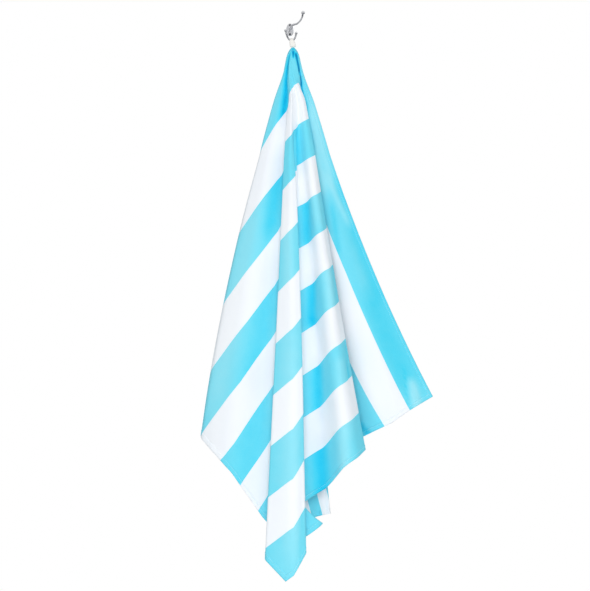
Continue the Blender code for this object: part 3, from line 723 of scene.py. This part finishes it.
def plated_zinc_alloy():
    """Die-cast zinc, polished and chrome plated: a clear mirror with faint handling marks."""
    made, tree = new_material("chrome_plated_zinc_alloy")
    place = add(tree, "ShaderNodeTexCoord").outputs["Object"]
    # Handling marks up to 6 mm across, and the slight waves of a cast face, 9 mm apart.
    marks = add(tree, "ShaderNodeTexNoise",
                {"Vector": place, "Scale": 1 / (6 * MM), "Detail": 5.0, "Roughness": 0.7})
    rough = add(tree, "ShaderNodeMapRange",
                {"Value": marks.outputs["Fac"], "From Min": 0.35, "From Max": 0.75, "To Min": 0.08,
                 "To Max": 0.22})
    waves = add(tree, "ShaderNodeTexNoise", {"Vector": place, "Scale": 1 / (9 * MM), "Detail": 1.0})
    bump = add(tree, "ShaderNodeBump",
               {"Height": waves.outputs["Fac"], "Strength": 0.06, "Distance": 0.2 * MM})
    close_material(tree, {"Base Color": linear("D6D7DA"), "Metallic": 1.0,
                          "Roughness": rough.outputs[0], "Normal": bump.outputs[0]})
    return made


def blackened_steel():
    """Steel screw heads, turned and blackened: dark and satin, with a fine uneven grain."""
    made, tree = new_material("blackened_steel")
    place = add(tree, "ShaderNodeTexCoord").outputs["Object"]
    grain = add(tree, "ShaderNodeTexNoise", {"Vector": place, "Scale": 1 / (0.5 * MM), "Detail": 3.0})
    rough = add(tree, "ShaderNodeMapRange",
                {"Value": grain.outputs["Fac"], "To Min": 0.28, "To Max": 0.45})
    close_material(tree, {"Base Color": linear("3C3E42"), "Metallic": 1.0,
                          "Roughness": rough.outputs[0]})
    return made


def matt_floor():
    """A plain matt floor, for the stage alone."""
    made, tree = new_material("matt_pale_floor")
    close_material(tree, {"Base Color": linear("F0F0F0"), "Roughness": 0.9})
    return made


# ---- the towel

def flat_of(down, angle):
    """Places on the flat cloth: how far along it from the loop, and in from its near edge."""
    return np.stack((np.ravel(down * np.cos(angle)), np.ravel(down * np.sin(angle))), 1)


def hem_distance(angles_down):
    """How far from the loop a line down the cloth meets the hem, from its angle all the way."""
    over = np.maximum(DOWNS * np.sin(angles_down) / TOWEL_WIDTH,
                      np.maximum(DOWNS * np.cos(angles_down) / REACH_LEFT,
                                 -DOWNS * np.cos(angles_down) / REACH_RIGHT))
    return np.interp(1.0, over, DOWNS)


def corner_columns():
    """The lines down the cloth that end in the two far corners of its hem."""
    found = []
    for reach in (REACH_LEFT, -REACH_RIGHT):
        row = math.hypot(reach, TOWEL_WIDTH) / SECTION_STEP
        around = ANGLES[int(row)] + (ANGLES[int(row) + 1] - ANGLES[int(row)]) * (row - int(row))
        corner = math.atan2(TOWEL_WIDTH, reach)
        found.append(float(np.interp(corner, around, np.arange(LAST_POINT + 1))))
    return found


def panel_offsets(panel):
    """Where a panel's columns lie in its own points: closer where it is gathered or broad."""
    gathers = {FOLD_NAMES.index(row[0]): row[1] for row in GATHERS}
    broad = {FOLD_NAMES.index(row[0]): row[1:] for row in BROAD_PANELS}
    if panel in broad:
        parts = zip((0, BEND_POINTS, BEND_POINTS + STRAIGHT_POINTS),
                    (BEND_POINTS, STRAIGHT_POINTS, BEND_POINTS), broad[panel])
        return [start + points * i / count for start, points, count in parts for i in range(count)]
    if panel in gathers:
        count = gathers[panel] * GATHER_COLUMNS + SPARE_COLUMNS
        return np.arange(0.0, 1.0, 1.0 / count) * PANEL_POINTS
    return PANEL_COLUMNS


def sheet_columns():
    """The lines down the cloth that its mesh follows, as places in the sections' points."""
    corners = corner_columns()
    columns = [panel * PANEL_POINTS + float(offset) for panel in range(LAST_FOLD)
               for offset in panel_offsets(panel)]
    columns = [c for c in columns if min(abs(c - corner) for corner in corners) > CORNER_CLEAR]
    return sorted(columns + corners + [LAST_POINT])


def towel_sheet(material):
    """The whole cloth as one thin closed shell."""
    columns = sheet_columns()
    rows = np.linspace(0.0, 1.0, ROW_COUNT) ** ROW_CROWDING
    downs, angles = [], []
    for column in columns:
        first = min(int(column), LAST_POINT - 1)
        along = ANGLES[:, first] + (ANGLES[:, first + 1] - ANGLES[:, first]) * (column - first)
        distance = hem_distance(along) * rows
        downs.append(distance)
        angles.append(np.interp(distance, DOWNS, along))
    downs, angles = np.array(downs), np.array(angles)
    points, _ = surface(downs, angles)
    flat = flat_of(downs, angles)
    faces = []
    for i in range(len(columns) - 1):
        for start in range(i * ROW_COUNT, (i + 1) * ROW_COUNT - 1):
            faces.append((start, start + 1, start + ROW_COUNT + 1, start + ROW_COUNT))
    piece = mesh_piece("towel_sheet", points, faces, flat, painted_fold_shading(flat))
    join_points(piece, CLOTH_JOIN)
    wall = piece.modifiers.new("cloth", "SOLIDIFY")
    wall.thickness = CLOTH_THICK
    wall.offset = 0.0
    finish_piece(piece, material)
    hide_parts("towel_cloth")
    return piece


def rim_path(inset, step):
    """Places on the flat cloth all the way round it, an inset in from its edge."""
    left, right, far = REACH_LEFT - inset, -REACH_RIGHT + inset, TOWEL_WIDTH - inset
    corners = [(left, inset), (left, far), (right, far), (right, inset), (0.0, inset), (left, inset)]
    points = []
    for start, end in zip(corners, corners[1:]):
        length = math.dist(start, end)
        count = max(2, round(length / step))
        share = np.arange(count) / count
        points.append(np.stack((start[0] + (end[0] - start[0]) * share,
                                start[1] + (end[1] - start[1]) * share), 1))
    return np.vstack(points)


def on_cloth(flat):
    """The creased cloth's places and facings for places on the flat cloth."""
    down = np.maximum(np.hypot(flat[:, 0], flat[:, 1]), NEAREST)
    angle = np.clip(np.arctan2(flat[:, 1], flat[:, 0]), 0.0, math.pi)
    return surface(down, angle)


def edge_hem(material):
    """The double-turned hem: a thicker band along all four edges, round at its outer fold."""
    back = [(inset, -rise) for inset, rise in reversed(HEM_FACE)]
    profile = [*HEM_FACE, (0.0, 0.0), *back]
    outer = rim_path(0.0, HEM_STEP)
    rings, flats = [], []
    for inset, rise in profile:
        flat = np.stack((np.clip(outer[:, 0], -REACH_RIGHT + inset, REACH_LEFT - inset),
                         np.clip(outer[:, 1], inset, TOWEL_WIDTH - inset)), 1)
        place, facing = on_cloth(flat)
        rings.append(place + facing * (rise * HEM_THICK))
        flats.append(flat)
    points = np.stack(rings, 1).reshape(-1, 3)
    flat = np.stack(flats, 1).reshape(-1, 2)
    # Painted shade along the hem's outer edge, fading out 3 mm in.
    edge = np.tile([1.0 - min(inset / HEM_EDGE_SHADE_WIDTH, 1.0) for inset, _ in profile], len(outer))
    piece = mesh_piece("edge_hem", points, band_faces(len(outer), len(profile)), flat,
                       painted_fold_shading(flat) + HEM_EDGE_SHADE * edge)
    join_points(piece, HEM_JOIN)
    return finish_piece(piece, material)


def hem_stitches(material):
    """One row of straight stitches along the hem, on both faces of the cloth."""
    path = rim_path(STITCH_INSET, STITCH_PITCH)
    heads, facing = on_cloth(path)
    ahead, _ = on_cloth(np.roll(path, -1, axis=0))
    along = ahead - heads
    gap = np.linalg.norm(along, axis=1)
    fit = (gap > SHORTEST_PITCH) & (gap < LONGEST_PITCH)
    heads, facing, along = heads[fit], facing[fit], along[fit] / gap[fit][:, None]
    side = np.cross(along, facing)
    points, faces = [], []
    for sign in (1.0, -1.0):
        middle = heads + facing * (sign * HEM_THICK * 0.5)
        for place, run, out, across in zip(middle, along, facing * sign, side):
            # Each stitch dips into the cloth at both ends, and its crown has three edges.
            start = len(points)
            near, far = start + 2, start + 5
            half = run * STITCH_LENGTH / 2
            points += [place - half - out * THREAD_RADIUS, place + half - out * THREAD_RADIUS]
            for shift in (-STITCH_HALF_CROWN, STITCH_HALF_CROWN):
                for rise, wide in ((0, -1), (1, 0), (0, 1)):
                    points.append(place + shift * run + out * THREAD_RADIUS * rise
                                  + across * THREAD_RADIUS * wide)
            for a, b in ((0, 1), (1, 2)):
                faces += [(start, near + a, near + b), (start + 1, far + b, far + a),
                          (near + a, far + a, far + b, near + b)]
    return finish_piece(mesh_piece("hem_stitches", points, faces), material)


# ---- the loop

TAPE_TOP = SADDLE.z + SADDLE_RADIUS + GAP + TAPE_THICK / 2
TAPE_FOOT = APEX.z + CLOTH_THICK / 2 + GAP + TAPE_THICK / 2


def tape_course():
    """The tape's middle line seen from the side, as depths and heights, once round."""
    side_top = TAPE_TOP - LOOP_HALF_DEPTH
    over = np.linspace(0.0, math.pi, OVER_POINTS)
    down = np.linspace(0.0, 1.0, LEG_POINTS + 1)[1:]
    away = LOOP_HALF_DEPTH * np.sqrt(1.0 - down ** LOOP_SQUARENESS)
    fall = side_top + (TAPE_FOOT - side_top) * down
    depth = np.concatenate((SADDLE.y + LOOP_HALF_DEPTH * np.cos(over), SADDLE.y - away,
                            (SADDLE.y + away)[-2::-1]))
    height = np.concatenate((side_top + LOOP_HALF_DEPTH * np.sin(over), fall, fall[-2::-1]))
    return depth, height


def tape_side(height):
    """The tape's middle and half width across at a height."""
    low = np.clip((TAPE_TOP - height) / (TAPE_TOP - TAPE_FOOT), 0.0, 1.0)
    widened = soft_step(TAPE_WIDENS * low - TAPE_HOLDS)
    half = (TAPE_WIDTH_TOP + (TAPE_WIDTH_LOW - TAPE_WIDTH_TOP) * widened) / 2
    return SADDLE.x + (APEX.x - SADDLE.x) * low, half


def hanging_tape(material):
    """The white loop: a closed band of tape with thicker woven edges and a little ripple."""
    depth, height = tape_course()
    ahead = np.stack([np.roll(line, -1) - np.roll(line, 1) for line in (depth, height)], 1)
    ahead /= np.linalg.norm(ahead, axis=1)[:, None]
    outward = np.stack((ahead[:, 1], -ahead[:, 0]), 1)
    run = np.concatenate(((0.0,), np.cumsum(np.hypot(np.diff(depth), np.diff(height)))))
    middle, half = tape_side(height)
    shares = np.linspace(-1.0, 1.0, TAPE_ACROSS)
    ring = [(share, side) for side in (1.0, -1.0) for share in shares * side]
    points = []
    for i in range(len(depth)):
        for share, side in ring:
            edge = TAPE_SELVEDGE * math.exp(-((1.0 - abs(share)) / SELVEDGE_SHARE) ** 2)
            thin = math.sqrt(max(0.0, 1.0 - share ** TAPE_EDGE_POWER))
            ripple = TAPE_RIPPLE * math.sin(run[i] / RIPPLE_LENGTH + RIPPLE_SLANT * share)
            out = side * (TAPE_THICK / 2 * thin + edge * thin) + ripple
            points.append((middle[i] + half[i] * share, depth[i] + outward[i, 0] * out,
                           height[i] + outward[i, 1] * out))
    tape = finish_piece(mesh_piece("hanging_tape", points, band_faces(len(depth), len(ring))),
                        material)
    join_points(tape, TAPE_JOIN, face_out=True)
    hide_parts("hanging_loop")
    return tape


def tape_tacks(material):
    """Bar tacks near the foot, on both legs: close zigzag stitches right across the tape."""
    depth, height = tape_course()
    front = slice(OVER_POINTS - 1, OVER_POINTS - 1 + LEG_POINTS)
    points, faces = [], []
    for rise in TACK_ROWS:
        middle, half = tape_side(TAPE_FOOT + rise)
        away = SADDLE.y - np.interp(-(TAPE_FOOT + rise), -height[front], depth[front])
        count = int(2 * TACK_SHARE * half / TACK_PITCH)
        across = middle + TACK_PITCH * (np.arange(count) - (count - 1) / 2)
        for leg in (-1.0, 1.0):
            surface_depth = SADDLE.y + leg * (away + TAPE_THICK / 2)
            for k, x in enumerate(across):
                lean = TACK_PITCH / 2 * (-1) ** k
                start = len(points)
                for end in (-1.0, 1.0):
                    end_x, z = x + end * lean, TAPE_FOOT + rise + end * TACK_HEIGHT / 2
                    points += [(end_x - THREAD_RADIUS, surface_depth, z),
                               (end_x, surface_depth + leg * THREAD_RADIUS, z),
                               (end_x + THREAD_RADIUS, surface_depth, z),
                               (end_x, surface_depth - leg * THREAD_RADIUS, z)]
                faces += [(start + j, start + (j + 1) % 4, start + 4 + (j + 1) % 4, start + 4 + j)
                          for j in range(4)]
                faces.append((start, start + 3, start + 2, start + 1))
                faces.append((start + 4, start + 5, start + 6, start + 7))
    return finish_piece(mesh_piece("tape_tacks", points, faces), material)


# ---- stage, light and camera

def pale_floor():
    bpy.ops.mesh.primitive_plane_add(size=FLOOR_SIZE, location=(0.0, 0.0, FLOOR_HEIGHT))
    floor = bpy.context.object
    floor.name = "floor"
    floor.data.materials.append(matt_floor())


def soft_room():
    """White behind the towel, an even light round it, and a room for polished metal to mirror."""
    world = bpy.context.scene.world or bpy.data.worlds.new("studio")
    bpy.context.scene.world = world
    world.use_nodes = True
    tree = world.node_tree
    tree.nodes.clear()
    seen = add(tree, "ShaderNodeBackground", {"Color": (1.0, 1.0, 1.0, 1.0), "Strength": 1.0})
    lit = add(tree, "ShaderNodeBackground", {"Color": (0.96, 0.98, 1.0, 1.0), "Strength": ROOM_LIGHT})
    # The mirrored room has a dim floor and bright walls above it.
    way = add(tree, "ShaderNodeTexCoord").outputs["Generated"]
    split = add(tree, "ShaderNodeSeparateXYZ", {"Vector": way})
    up = add(tree, "ShaderNodeMapRange",
             {"Value": split.outputs["Z"], "From Min": -1.0, "From Max": 1.0})
    room = add(tree, "ShaderNodeValToRGB", {"Fac": up.outputs[0]},
               stops=((0.0, "4A4C50"), (0.34, "77797D"), (0.44, "D2D3D5"), (0.60, "F2F2F3"),
                      (1.0, "FFFFFF")))
    mirrored = add(tree, "ShaderNodeBackground", {"Color": room.outputs["Color"], "Strength": 1.0})
    rays = add(tree, "ShaderNodeLightPath")
    unseen = add(tree, "ShaderNodeMixShader",
                 {0: rays.outputs["Is Glossy Ray"], 1: lit.outputs[0], 2: mirrored.outputs[0]})
    both = add(tree, "ShaderNodeMixShader",
               {0: rays.outputs["Is Camera Ray"], 1: unseen.outputs[0], 2: seen.outputs[0]})
    add(tree, "ShaderNodeOutputWorld", {"Surface": both.outputs[0]})


def soft_lamps():
    """A broad lamp in front, one on each side of it, and one behind."""
    for name, place, size, power in LAMPS:
        lamp = bpy.data.lights.new(name, "AREA")
        lamp.size = size
        lamp.energy = power
        lit_from = bpy.data.objects.new(name, lamp)
        lit_from.location = place
        lit_from.rotation_mode = "QUATERNION"
        lit_from.rotation_quaternion = (LAMP_AIM - Vector(place)).to_track_quat("-Z", "Y")
        lit_from.visible_glossy = name in MIRRORED_LAMPS
        lit_from.visible_camera = False
        bpy.context.scene.collection.objects.link(lit_from)


def camera():
    """A long lens straight on, as the photograph was taken."""
    eye = bpy.data.cameras.new("camera")
    made = bpy.data.objects.new("camera", eye)
    bpy.context.scene.collection.objects.link(made)
    width = PICTURE_WIDTH / PIXELS_A_METRE
    eye.sensor_fit = "HORIZONTAL"
    eye.sensor_width = SENSOR_WIDTH
    eye.lens = SENSOR_WIDTH * (CAMERA_DISTANCE - SCALE_DEPTH) / width
    eye.clip_end = 100.0
    made.location = (HOOK_LEFT_OF_MIDDLE / PIXELS_A_METRE, -CAMERA_DISTANCE,
                     -HOOK_ABOVE_MIDDLE / PIXELS_A_METRE)
    made.rotation_euler = (math.pi / 2, 0.0, 0.0)
    bpy.context.scene.camera = made


bpy.context.scene.view_settings.view_transform = "Standard"
cloth = striped_microfibre()
towel = towel_sheet(cloth)
hem = edge_hem(cloth)
stitches = hem_stitches(polyester_thread("light_blue_polyester_thread", "D2F0F8"))
tape = hanging_tape(cotton_tape())
tacks = tape_tacks(polyester_thread("white_polyester_thread", "F4F3EE"))
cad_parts["wall_hook"].material_slots[0].material = plated_zinc_alloy()
steel = blackened_steel()
for screw in ("screw_top", "screw_bottom"):
    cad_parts[screw].material_slots[0].material = steel
pale_floor()
soft_room()
soft_lamps()
camera()
